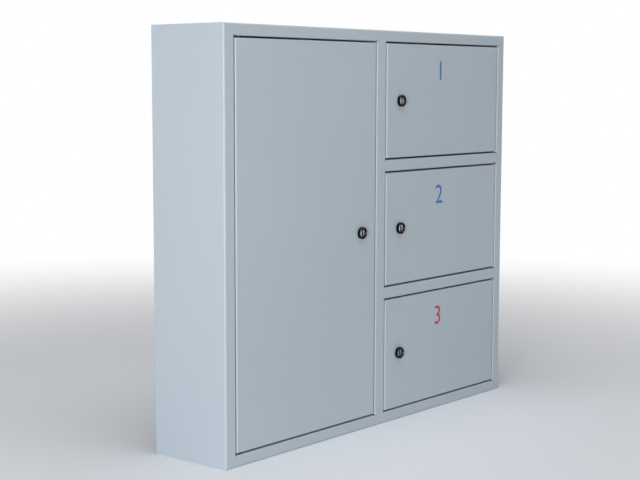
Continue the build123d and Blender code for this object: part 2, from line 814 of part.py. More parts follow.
for name, window in windows.items():
    door_width, door_height, door_x, door_z = window_size(door_sides(window))
    _, _, door_bottom, door_top, _ = door_sides(window)
    hinge_x = pivot_x(window)
    lock_x, lock_z = lock_centre(window)

    # Door: one sheet folded into a shallow pan, with a flatted lock hole and a pin hole at each end
    with BuildPart() as door:
        with BuildSketch(behind_front(door_return)):
            with Locations((door_x, door_z)):
                Rectangle(door_width, door_height)
        extrude(amount=door_return)
        fillet(door.faces().sort_by(Axis.Y)[0].edges(), door_fold)
        offset(amount=-sheet, openings=door.faces().sort_by(Axis.Y)[-1])
        with BuildSketch(behind_front(0)):
            with Locations((lock_x, lock_z)):
                add(barrel_profile(lock_hole_clearance))
        extrude(amount=-sheet, mode=Mode.SUBTRACT)
        for end in (door_bottom, door_top):
            with BuildSketch(Plane.XY.offset(end)):
                with Locations((hinge_x, pivot_y)):
                    Circle(pin_radius + door_pin_ease)
            extrude(amount=sheet, both=True, mode=Mode.SUBTRACT)
    door.part.label = name
    export_step(door.part, f"parts/{name}.step")

    # Hinge knuckles, welded to the back of the skin at the top and the bottom of the door
    with BuildPart() as knuckles:
        for start, direction in ((door_bottom + door_fold, 1), (door_top - door_fold, -1)):
            with BuildSketch(Plane.XY.offset(start)):
                with Locations((hinge_x, pivot_y)):
                    Circle(knuckle_radius)
                with Locations((hinge_x, -depth + sheet + knuckle_foot / 2)):
                    Rectangle(knuckle_foot_width, knuckle_foot)
                with Locations((hinge_x, (pivot_y - depth + sheet) / 2)):
                    Rectangle(2 * knuckle_radius, pivot_y + depth - sheet)
                with Locations((hinge_x, pivot_y)):
                    Circle(pin_radius + pin_clearance, mode=Mode.SUBTRACT)
            extrude(amount=direction * knuckle_length)
    knuckles.part.label = f"{name}_knuckles"
    export_step(knuckles.part, f"parts/{name}_knuckles.step")

    # Lock body: round head on the skin and a flatted barrel through it
    with BuildPart() as lock_body:
        with BuildSketch(at_y(lock_face)):
            with Locations((lock_x, lock_z)):
                Circle(lock_head_radius)
        extrude(amount=-lock_head)
        chamfer(lock_body.faces().sort_by(Axis.Y)[0].edges(), lock_head_bevel)
        with BuildSketch(behind_front(0)):
            with Locations((lock_x, lock_z)):
                add(barrel_profile(0))
        extrude(amount=-lock_barrel_end)
        with BuildSketch(at_y(lock_face)):
            with Locations((lock_x, lock_z)):
                Circle(plug_radius + plug_clearance)
        extrude(amount=-lock_head - lock_barrel_end, mode=Mode.SUBTRACT)
    lock_body.part.label = f"{name}_lock_body"
    export_step(lock_body.part, f"parts/{name}_lock_body.step")

    # Lock nut behind the skin
    with BuildPart() as lock_nut:
        with BuildSketch(behind_front(sheet)):
            with Locations((lock_x, lock_z)):
                RegularPolygon(lock_nut_across_flats / 2, 6, major_radius=False)
                Circle(lock_barrel_radius, mode=Mode.SUBTRACT)
        extrude(amount=-lock_nut_height)
    lock_nut.part.label = f"{name}_lock_nut"
    export_step(lock_nut.part, f"parts/{name}_lock_nut.step")

    # Lock plug with its key slot, a square tail for the cam and a hole for the cam screw
    with BuildPart() as lock_plug:
        with BuildSketch(at_y(lock_face + plug_recess)):
            with Locations((lock_x, lock_z)):
                Circle(plug_radius)
        extrude(amount=-(lock_head + plug_end - plug_recess))
        with BuildSketch(behind_front(plug_end)):
            with Locations((lock_x, lock_z)):
                Rectangle(cam_square, cam_square)
        extrude(amount=-cam_sheet)
        with BuildSketch(at_y(lock_face + plug_recess)):
            with Locations((lock_x, lock_z)):
                Rectangle(key_slot_width, key_slot_height)
        extrude(amount=-key_slot_depth, mode=Mode.SUBTRACT)
        with BuildSketch(behind_front(plug_end + cam_sheet)):
            with Locations((lock_x, lock_z)):
                Circle(cam_screw_radius)
        extrude(amount=cam_screw_depth, mode=Mode.SUBTRACT)
    lock_plug.part.label = f"{name}_lock_plug"
    export_step(lock_plug.part, f"parts/{name}_lock_plug.step")

    # Cam, upright while unlocked, with a square hole on the tail of the plug
    with BuildPart() as lock_cam:
        with BuildSketch(behind_front(plug_end)):
            with Locations((lock_x, lock_z)):
                Circle(cam_hub_radius)
            with Locations((lock_x, lock_z + cam_reach - cam_tip_radius)):
                Circle(cam_tip_radius)
            make_hull()
            with Locations((lock_x, lock_z)):
                Rectangle(cam_hole, cam_hole, mode=Mode.SUBTRACT)
        extrude(amount=-cam_sheet)
    lock_cam.part.label = f"{name}_lock_cam"
    export_step(lock_cam.part, f"parts/{name}_lock_cam.step")

    # Screw that holds the cam on the plug
    with BuildPart() as cam_screw:
        with BuildSketch(behind_front(plug_end + cam_sheet)):
            with Locations((lock_x, lock_z)):
                Circle(cam_screw_head_radius)
        extrude(amount=-cam_screw_head)
        with BuildSketch(behind_front(plug_end + cam_sheet)):
            with Locations((lock_x, lock_z)):
                Circle(cam_screw_radius)
        extrude(amount=cam_screw_depth - cam_square_clearance)
    cam_screw.part.label = f"{name}_cam_screw"
    export_step(cam_screw.part, f"parts/{name}_cam_screw.step")
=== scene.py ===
"""Looks of a wall-mounted fibre optic splice box: finishes, fine pieces, studio and camera.

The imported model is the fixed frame. Its folded, welded and moulded pieces keep their shape and get
their finish here. Turned, threaded and moulded small pieces are modelled again in finer form.
"""

import logging
import math
from dataclasses import dataclass, replace
from enum import Enum
from itertools import product

import bmesh
import bpy
from mathutils import Matrix, Vector


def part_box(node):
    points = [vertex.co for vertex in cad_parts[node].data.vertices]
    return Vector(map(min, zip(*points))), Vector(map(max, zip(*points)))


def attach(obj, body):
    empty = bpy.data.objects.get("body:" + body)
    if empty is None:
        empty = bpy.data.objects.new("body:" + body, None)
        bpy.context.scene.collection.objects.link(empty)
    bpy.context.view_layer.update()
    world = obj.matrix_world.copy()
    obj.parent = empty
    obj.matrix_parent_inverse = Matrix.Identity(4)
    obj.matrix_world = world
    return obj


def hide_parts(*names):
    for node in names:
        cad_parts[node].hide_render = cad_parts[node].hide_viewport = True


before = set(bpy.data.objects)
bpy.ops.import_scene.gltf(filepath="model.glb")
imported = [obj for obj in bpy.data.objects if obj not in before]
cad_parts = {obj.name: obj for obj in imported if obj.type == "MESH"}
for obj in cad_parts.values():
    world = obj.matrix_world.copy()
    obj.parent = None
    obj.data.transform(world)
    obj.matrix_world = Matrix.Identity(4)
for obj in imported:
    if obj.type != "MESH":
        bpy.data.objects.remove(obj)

MM = 0.001
CABINET = "cabinet"
SKIN = 136.0 * MM
SHARP_ANGLE = math.radians(35)
WELD = 1e-6
TURN = "seat_turn"
log = logging.getLogger("splice_box")

Colour = tuple[float, float, float]
Point = tuple[float, float, float]
Pair = tuple[float, float]
Profile = list[Pair]
Sockets = bpy.types.bpy_prop_collection
Socket = bpy.types.NodeSocket
Tree = bpy.types.NodeTree
Piece = bpy.types.Object
Shape = bmesh.types.BMesh


class Slot(Enum):
    """Material slots of the record."""

    SHEET = "painted_sheet"
    ZINC = "zinc_steel"
    LOCK = "lock_chrome"
    RUBBER = "black_rubber"
    TRAY = "tray_plastic"
    ADAPTER = "adapter_plastic"
    CAP = "cap_plastic"
    MODULE = "module_plastic"


class Graph:
    """A node tree with a short way to add and join its nodes."""

    def __init__(self, tree: Tree) -> None:
        """Hold the tree and empty it."""
        self.tree = tree
        tree.nodes.clear()

    def add(self, kind: str, feeds: dict | None = None, **settings: object) -> bpy.types.Node:
        """Add one node.

        Args:
            kind: The node's type.
            feeds: Values or source sockets for its inputs, by name or number.
            settings: Properties of the node itself.

        Returns:
            The new node.
        """
        node = self.tree.nodes.new(kind)
        for name, value in settings.items():
            setattr(node, name, value)
        for key, value in (feeds or {}).items():
            if isinstance(value, Socket):
                self.tree.links.new(value, node.inputs[key])
            else:
                node.inputs[key].default_value = value
        return node

    def math(self, operation: str, *values: object) -> Socket:
        """Put a Math node on up to three values or sockets and give its result."""
        return self.add("ShaderNodeMath", dict(enumerate(values)), operation=operation).outputs[0]

    def spread(self, value: Socket, span: Pair, low: float = 0.0, high: float = 1.0) -> Socket:
        """Map a value from a span to the numbers from low to high, and clamp it."""
        return self.add("ShaderNodeMapRange", dict(enumerate((value, *span, low, high)))).outputs[0]

    def blend(self, share: object, first: object, second: object) -> Socket:
        """Mix two colours by a share and give the result."""
        return self.add("ShaderNodeMix", {0: share, 6: first, 7: second}, data_type="RGBA").outputs[2]

    def here(self) -> Socket:
        """Give the place in the object's own coordinates."""
        return self.add("ShaderNodeTexCoord").outputs["Object"]

    def noise(self, place: Socket, scale: object, detail: float) -> Socket:
        """Give noise of a scale and a detail at a place."""
        return self.add("ShaderNodeTexNoise", {"Vector": place, "Scale": scale, "Detail": detail}).outputs[0]

    def group(self, tree: Tree, **feeds: object) -> Sockets:
        """Place a shader group, with its inputs named in small letters, and give its outputs."""
        named = {name.title(): value for name, value in feeds.items()}
        return self.add("ShaderNodeGroup", named, node_tree=tree).outputs


def new_group(name: str, kind: str, inputs: dict[str, tuple],
              outputs: dict[str, str]) -> tuple[Graph, Sockets]:
    """Start a node group.

    Args:
        name: Its name.
        kind: The type of its tree.
        inputs: Socket type and default value by name, with None where a type has no default.
        outputs: Socket type by name.

    Returns:
        The group as a graph, and the sockets that bring in its inputs.
    """
    tree = bpy.data.node_groups.new(name, kind)
    for label, (socket_type, value) in inputs.items():
        socket = tree.interface.new_socket(label, in_out="INPUT", socket_type="NodeSocket" + socket_type)
        if value is not None:
            socket.default_value = value
    for label, socket_type in outputs.items():
        tree.interface.new_socket(label, in_out="OUTPUT", socket_type="NodeSocket" + socket_type)
    graph = Graph(tree)
    return graph, graph.add("NodeGroupInput").outputs


@dataclass
class Effects:
    """Shader groups that several finishes share."""

    fine_ratio: float = 3.7
    fine_share: float = 0.3
    drift_span: Pair = (0.35, 0.65)
    edge_span: Pair = (0.97, 0.75)
    patch_span: Pair = (0.42, 0.66)
    up_span: Pair = (0.5, 1.0)
    side_dust: float = 0.15

    def __post_init__(self) -> None:
        """Build each group once."""
        self.grain = self.build_grain()
        self.drift = self.build_drift()
        self.rub_and_sheen = self.build_rub_and_sheen()
        self.dust = self.build_dust()

    def build_grain(self) -> Tree:
        """Relief of a surface: soft cells with a finer grain over them, stretched where it is brushed.

        Returns:
            A group that gives a height and a fine tone.
        """
        inputs = {"Scale": ("Float", 900.0), "Stretch": ("Vector", (1, 1, 1))}
        outputs = {"Height": "Float", "Tone": "Float"}
        graph, entry = new_group("surface_grain", "ShaderNodeTree", inputs, outputs)
        place = graph.add("ShaderNodeMapping", {"Vector": graph.here(), "Scale": entry["Stretch"]}).outputs[0]
        cells = graph.noise(place, entry["Scale"], detail=1.0)
        specks = graph.noise(place, graph.math("MULTIPLY", entry["Scale"], self.fine_ratio), detail=2.0)
        extra = graph.math("MULTIPLY", specks, self.fine_share)
        graph.add("NodeGroupOutput", {"Height": graph.math("ADD", cells, extra), "Tone": specks})
        return graph.tree

    def build_drift(self) -> Tree:
        """Slow drift from one colour to another.

        Returns:
            A group that gives a colour.
        """
        inputs = {"Base": ("Color", (1, 1, 1, 1)), "Shade": ("Color", (0, 0, 0, 1)), "Scale": ("Float", 4.0)}
        graph, entry = new_group("tone_drift", "ShaderNodeTree", inputs, {"Color": "Color"})
        share = graph.spread(graph.noise(graph.here(), entry["Scale"], detail=4.0), self.drift_span)
        graph.add("NodeGroupOutput", {"Color": graph.blend(share, entry["Base"], entry["Shade"])})
        return graph.tree

    def build_rub_and_sheen(self) -> Tree:
        """Edges that are softly rounded, rubbed, and lightened as a painted highlight of the folds.

        Returns:
            A group that gives the mask of rubbed wear and painted edge highlight, and the normal of the
            rounded edge.
        """
        inputs = {"Radius": ("Float", 0.0004), "Amount": ("Float", 1.0), "Scale": ("Float", 90.0)}
        graph, entry = new_group("edge_rub_and_sheen", "ShaderNodeTree", inputs, {"Mask": "Float", "Normal": "Vector"})
        soft = graph.add("ShaderNodeBevel", {"Radius": entry["Radius"]}, samples=6).outputs[0]
        face = graph.add("ShaderNodeNewGeometry").outputs["Normal"]
        likeness = graph.add("ShaderNodeVectorMath", {0: soft, 1: face}, operation="DOT_PRODUCT")
        edge = graph.spread(likeness.outputs["Value"], self.edge_span)
        noise = graph.noise(graph.here(), entry["Scale"], detail=5.0)
        patches = graph.spread(noise, self.patch_span)
        # The mask lightens every edge: partly rubbed wear, partly a painted highlight of the folds.
        mask = graph.math("MULTIPLY", graph.math("MULTIPLY", edge, patches), entry["Amount"])
        graph.add("NodeGroupOutput", {"Mask": mask, "Normal": soft})
        return graph.tree

    def build_dust(self) -> Tree:
        """Dust that settles on faces that look up.

        Returns:
            A group that gives the dust's mask.
        """
        inputs = {"Amount": ("Float", 0.2), "Scale": ("Float", 35.0)}
        graph, entry = new_group("settled_dust", "ShaderNodeTree", inputs, {"Mask": "Float"})
        face = graph.add("ShaderNodeNewGeometry").outputs["Normal"]
        up = graph.add("ShaderNodeSeparateXYZ", {0: face}).outputs["Z"]
        level = graph.spread(up, self.up_span, low=self.side_dust)
        share = graph.math("MULTIPLY", level, graph.noise(graph.here(), entry["Scale"], detail=6.0))
        graph.add("NodeGroupOutput", {"Mask": graph.math("MULTIPLY", share, entry["Amount"])})
        return graph.tree


EFFECTS = Effects()
DUST_COLOUR = (0.52, 0.5, 0.46)


@dataclass(frozen=True)
class Finish:
    """One finish: its two colours, its gloss, its relief, how it wears and its painted edge highlight."""

    name: str
    slot: Slot
    colour: Colour
    shade: Colour
    drift: float
    roughness: float
    gloss_spread: float
    grain: float
    relief: float
    stretch: Point = (1.0, 1.0, 1.0)
    tone_span: Pair = (0.3, 0.7)
    metallic: float = 0.0
    edge_radius: float = 0.4 * MM
    # Share of the edges lightened, as rubbed wear and painted highlight, and their colour.
    rub_and_sheen: float = 0.0
    rub_and_sheen_colour: Colour = (0.7, 0.7, 0.7)
    dust: float = 0.03

    def material(self) -> bpy.types.Material:
        """Give the finish's material, built on its first use.

        Returns:
            The material.
        """
        found = bpy.data.materials.get(self.name)
        if found:
            return found
        material = bpy.data.materials.new(self.name)
        material.use_nodes = True
        graph = Graph(material.node_tree)
        grain = graph.group(EFFECTS.grain, scale=self.grain, stretch=self.stretch)
        drift = graph.group(EFFECTS.drift, base=(*self.colour, 1), shade=(*self.shade, 1), scale=self.drift)
        rub_and_sheen = graph.group(EFFECTS.rub_and_sheen, radius=self.edge_radius, amount=self.rub_and_sheen)
        dust = graph.group(EFFECTS.dust, amount=self.dust)["Mask"]
        # Edges take a lighter colour: rubbed wear and a painted highlight of the folds.
        tint = graph.blend(rub_and_sheen["Mask"], drift["Color"], (*self.rub_and_sheen_colour, 1))
        tint = graph.blend(dust, tint, (*DUST_COLOUR, 1))
        gloss = graph.spread(grain["Tone"], self.tone_span, self.roughness - self.gloss_spread,
                             self.roughness + self.gloss_spread)
        gloss = graph.math("ADD", gloss, dust)
        bump = graph.add("ShaderNodeBump", {"Height": grain["Height"], "Normal": rub_and_sheen["Normal"],
                                            "Distance": self.relief, "Strength": 1.0}).outputs[0]
        surface = graph.add("ShaderNodeBsdfPrincipled", {
            "Base Color": tint, "Roughness": gloss, "Normal": bump, "Metallic": self.metallic,
        }).outputs[0]
        graph.add("ShaderNodeOutputMaterial", {"Surface": surface})
        return material


# The powder coat's lighter edges are partly thin paint and partly a painted highlight of the folds.
POWDER_COAT = Finish(
    "powder_coat", Slot.SHEET, colour=(0.515, 0.585, 0.645), shade=(0.485, 0.562, 0.625), drift=2.6,
    roughness=0.4, gloss_spread=0.06, grain=520.0, relief=0.035 * MM, edge_radius=0.5 * MM,
    rub_and_sheen=0.25, rub_and_sheen_colour=(0.66, 0.72, 0.77),
)
ZINC_PLATE = Finish(
    "zinc_plate", Slot.ZINC, colour=(0.62, 0.63, 0.64), shade=(0.5, 0.53, 0.57), drift=38.0, metallic=1.0,
    roughness=0.36, gloss_spread=0.1, grain=420.0, stretch=(1.0, 1.0, 0.12), relief=0.02 * MM,
    rub_and_sheen=0.5, rub_and_sheen_colour=(0.78, 0.78, 0.78),
)
# Near-black pins: dark steel, darkened as painted shade so that they sink into the door gaps.
PIN_STEEL_AND_SHADE = Finish(
    "pin_steel_and_shade", Slot.ZINC, colour=(0.085, 0.09, 0.095), shade=(0.06, 0.063, 0.068), drift=90.0, metallic=1.0,
    roughness=0.55, gloss_spread=0.1, grain=700.0, relief=0.015 * MM, dust=0.05,
)
LOCK_SHELL = Finish(
    "lock_shell", Slot.LOCK, colour=(0.016, 0.018, 0.022), shade=(0.009, 0.01, 0.013), drift=160.0,
    metallic=1.0, roughness=0.13, gloss_spread=0.04, grain=1500.0, relief=0.004 * MM,
    edge_radius=0.15 * MM, rub_and_sheen=0.35, rub_and_sheen_colour=(0.3, 0.31, 0.32), dust=0.0,
)
LOCK_PLUG = replace(
    LOCK_SHELL, name="lock_plug", colour=(0.07, 0.073, 0.08), shade=(0.035, 0.037, 0.042), drift=260.0,
    roughness=0.26, gloss_spread=0.07, grain=1300.0, relief=0.008 * MM, rub_and_sheen_colour=(0.35, 0.36, 0.37),
)
# Bright metal on the two lands: a painted reflection on the plug, set against its dark face.
LOCK_GLINT_LAND = replace(
    LOCK_PLUG, name="lock_land", colour=(0.62, 0.625, 0.63), shade=(0.5, 0.505, 0.515), drift=240.0,
    roughness=0.24, gloss_spread=0.08, stretch=(1.0, 1.0, 0.1), relief=0.01 * MM, rub_and_sheen=0.6,
    rub_and_sheen_colour=(0.72, 0.72, 0.72),
)
BLACK_RUBBER = Finish(
    "black_rubber", Slot.RUBBER, colour=(0.03, 0.03, 0.032), shade=(0.045, 0.044, 0.044), drift=60.0,
    roughness=0.62, gloss_spread=0.1, grain=1100.0, relief=0.03 * MM, dust=0.12,
)
TRAY_PLASTIC = Finish(
    "tray_plastic", Slot.TRAY, colour=(0.74, 0.75, 0.73), shade=(0.69, 0.705, 0.69), drift=12.0,
    roughness=0.44, gloss_spread=0.07, grain=1700.0, relief=0.02 * MM,
)
ADAPTER_PLASTIC = Finish(
    "adapter_plastic", Slot.ADAPTER, colour=(0.03, 0.16, 0.42), shade=(0.025, 0.14, 0.37), drift=50.0,
    roughness=0.32, gloss_spread=0.06, grain=1500.0, relief=0.012 * MM, dust=0.02,
)
CAP_PLASTIC = Finish(
    "cap_plastic", Slot.CAP, colour=(0.7, 0.72, 0.73), shade=(0.66, 0.69, 0.71), drift=70.0,
    roughness=0.4, gloss_spread=0.06, grain=1300.0, relief=0.012 * MM,
)
MODULE_PLASTIC = Finish(
    "module_plastic", Slot.MODULE, colour=(0.2, 0.215, 0.235), shade=(0.175, 0.19, 0.21), drift=18.0,
    roughness=0.46, gloss_spread=0.08, grain=1600.0, relief=0.03 * MM, dust=0.05,
)
BLUE_INK = Finish(
    "blue_ink", Slot.SHEET, colour=(0.012, 0.13, 0.5), shade=(0.016, 0.16, 0.55), drift=120.0,
    roughness=0.45, gloss_spread=0.08, grain=900.0, relief=0.02 * MM, dust=0.0,
)
RED_INK = replace(BLUE_INK, name="red_ink", colour=(0.62, 0.012, 0.05), shade=(0.56, 0.016, 0.06))


def facing_front(x: float, y: float, z: float) -> Matrix:
    """Give the place whose own +Z looks out of the front, at this point."""
    return Matrix.Translation((x, y, z)) @ Matrix.Rotation(math.pi / 2, 4, "X")


def rounded(points: Profile, radius: float, closed: bool = False, steps: int = 3) -> Profile:
    """Round the corners of an outline.

    Args:
        points: The outline's corners.
        radius: Radius of each corner, less where a side is short.
        closed: Whether the outline closes on itself.
        steps: Pieces that an arc is cut into.

    Returns:
        The outline with arcs for its inner corners.
    """
    most_of_side = 0.45
    count = len(points)
    out: Profile = []
    for index, point in enumerate(points):
        if not closed and index in (0, count - 1):
            out.append(point)
            continue
        here = Vector(point)
        back = Vector(points[index - 1]) - here
        ahead = Vector(points[(index + 1) % count]) - here
        reach = min(radius, most_of_side * back.length, most_of_side * ahead.length)
        start = here + back.normalized() * reach
        end = here + ahead.normalized() * reach
        for step in range(steps + 1):
            share = step / steps
            spot = start.lerp(here, share).lerp(here.lerp(end, share), share)
            out.append((spot.x, spot.y))
    return out


def turn(shape: Shape, profile: Profile, place: Matrix, closed: bool = False, sides: int = 48,
         flat: float = math.inf) -> None:
    """Add a turned solid to a shape.

    Args:
        shape: The shape that it joins.
        profile: Radius and height pairs along the solid's own +Z.
        place: Where the solid's foot stands and how it is turned.
        closed: Whether the profile is a closed section, as of a ring.
        sides: Faces round the axis.
        flat: Half distance between two flats that cut the solid across its own X.
    """
    rings = []
    for radius, height in profile:
        around = sides if radius > 0 else 1
        ring = []
        for index in range(around):
            angle = 2 * math.pi * index / around
            x = min(max(radius * math.cos(angle), -flat), flat)
            ring.append(shape.verts.new(place @ Vector((x, radius * math.sin(angle), height))))
        rings.append(ring)
    pairs = list(zip(rings, rings[1:]))
    if closed:
        pairs.append((rings[-1], rings[0]))
    for low, high in pairs:
        for index in range(sides):
            after = (index + 1) % sides
            corners = [low[index % len(low)], low[after % len(low)], high[after % len(high)],
                       high[index % len(high)]]
            if len(set(corners)) > 2:
                shape.faces.new(list(dict.fromkeys(corners)))


def prism(shape: Shape, outline: Profile, low: float, high: float, place: Matrix,
          bevel: float = 0.0, segments: int = 2) -> None:
    """Add an extruded outline to a shape, with its edges rounded.

    Args:
        shape: The shape that it joins.
        outline: Corners in the place's own XY.
        low: Height of the foot.
        high: Height of the top.
        place: Where the prism stands.
        bevel: Radius of its edges.
        segments: Pieces that a rounded edge is cut into.
    """
    part = bmesh.new()
    foot = [part.verts.new(Vector((x, y, low))) for x, y in outline]
    top = [part.verts.new(Vector((x, y, high))) for x, y in outline]
    part.faces.new(list(reversed(foot)))
    part.faces.new(top)
    for corners in zip(foot, foot[1:] + foot[:1], top[1:] + top[:1], top):
        part.faces.new(corners)
    if bevel:
        bmesh.ops.bevel(part, geom=part.edges[:], offset=bevel, segments=segments, profile=0.5,
                        affect="EDGES", clamp_overlap=True)
    part.transform(place)
    loose = bpy.data.meshes.new("prism")
    part.to_mesh(loose)
    part.free()
    shape.from_mesh(loose)
    bpy.data.meshes.remove(loose)


def rectangle(width: float, height: float, x: float = 0.0, y: float = 0.0) -> Profile:
    """Give the corners of a rectangle about a middle point."""
    return [(x - width / 2, y - height / 2), (x + width / 2, y - height / 2),
            (x + width / 2, y + height / 2), (x - width / 2, y + height / 2)]


@dataclass(frozen=True)
class Block:
    """A block of a moulding with its copies, in millimetres about the moulding's place."""

    size: Pair
    ends: Pair
    edge: float
    segments: int = 2
    across: tuple[float, ...] = (0.0,)
    up: tuple[float, ...] = (0.0,)
    out: tuple[float, ...] = (0.0,)


def add_blocks(shape: Shape, place: Matrix, *blocks: Block) -> None:
    """Add blocks with all their copies to a shape.

    Args:
        shape: The shape.
        place: Where the moulding stands.
        blocks: Its blocks.
    """
    for block in blocks:
        width, height = block.size
        for x, y, z in product(block.across, block.up, block.out):
            low, high = ((end + z) * MM for end in block.ends)
            outline = rectangle(width * MM, height * MM, x * MM, y * MM)
            prism(shape, outline, low, high, place, block.edge * MM, block.segments)


def smooth(mesh: bpy.types.Mesh) -> None:
    """Shade a mesh smooth but for its sharp edges."""
    mesh.shade_smooth()
    mesh.set_sharp_from_angle(angle=SHARP_ANGLE)


def add_object(name: str, data: bpy.types.ID) -> Piece:
    """Put a new object in the scene.

    Args:
        name: Its name.
        data: Its mesh, curve, lamp or camera.

    Returns:
        The object.
    """
    made = bpy.data.objects.new(name, data)
    bpy.context.scene.collection.objects.link(made)
    return made


def to_piece(name: str, shape: Shape, finish: Finish) -> Piece:
    """Turn a shape into an object in the scene.

    Args:
        name: The piece's name.
        shape: Its shape, which is used up.
        finish: Its finish.

    Returns:
        The object.
    """
    bmesh.ops.remove_doubles(shape, verts=shape.verts[:], dist=WELD)
    bmesh.ops.recalc_face_normals(shape, faces=shape.faces[:])
    mesh = bpy.data.meshes.new(name)
    shape.to_mesh(mesh)
    shape.free()
    smooth(mesh)
    mesh.materials.append(finish.material())
    return add_object(name, mesh)


def final_mesh(item: Piece) -> bpy.types.Mesh:
    """Give a new mesh of an object as its modifiers or its font leave it."""
    return bpy.data.meshes.new_from_object(item.evaluated_get(bpy.context.evaluated_depsgraph_get()))


def bake(piece: Piece) -> None:
    """Make a piece's modifiers part of its mesh, and shade it.

    Args:
        piece: The piece.
    """
    mesh = final_mesh(piece)
    piece.modifiers.clear()
    piece.data = mesh
    smooth(mesh)


def carve(piece: Piece, cutter: Piece) -> Piece:
    """Cut one object out of another.

    Args:
        piece: What is cut.
        cutter: What is taken out, which is then removed.

    Returns:
        The piece.
    """
    modifier = piece.modifiers.new("cut", "BOOLEAN")
    modifier.object = cutter
    modifier.solver = "EXACT"
    bake(piece)
    bpy.data.objects.remove(cutter)
    return piece


def hand_over(piece: Piece, body: str, slot: Slot, *nodes: str) -> None:
    """Let a finished piece ride on its body, in place of the nodes that it stands for.

    Args:
        piece: The piece.
        body: The body that carries it.
        slot: The record's slot of its finish; not used.
        nodes: The nodes that it replaces.
    """
    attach(piece, body)
    if nodes:
        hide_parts(*nodes)
    log.info("%s: %d faces on %s", piece.name, len(piece.data.polygons), body)


def dress(finish: Finish, *nodes: str) -> None:
    """Give nodes of the frame their finish.

    Args:
        finish: The finish.
        nodes: Names of the nodes.
    """
    for name in nodes:
        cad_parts[name].material_slots[0].material = finish.material()
        log.info("%s: %s", name, finish.name)


def middle(node: str) -> Vector:
    """Give the middle of a node's box."""
    low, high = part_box(node)
    return (low + high) / 2


def loose_boxes(node: str) -> list[tuple[Vector, Vector]]:
    """Find the separate solids of a node.

    Args:
        node: The node's name.

    Returns:
        The lowest and highest corner of each solid, from left to right.
    """
    shape = bmesh.new()
    shape.from_mesh(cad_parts[node].data)
    bmesh.ops.remove_doubles(shape, verts=shape.verts[:], dist=WELD)
    left = set(shape.verts)
    boxes = []
    while left:
        island = {left.pop()}
        front = list(island)
        while front:
            vert = front.pop()
            near = {link.other_vert(vert) for link in vert.link_edges} - island
            island |= near
            front += near
        left -= island
        boxes.append(tuple(Vector([pick(vert.co[axis] for vert in island) for axis in range(3)])
                           for pick in (min, max)))
    shape.free()
    return sorted(boxes, key=lambda pair: pair[0].x)


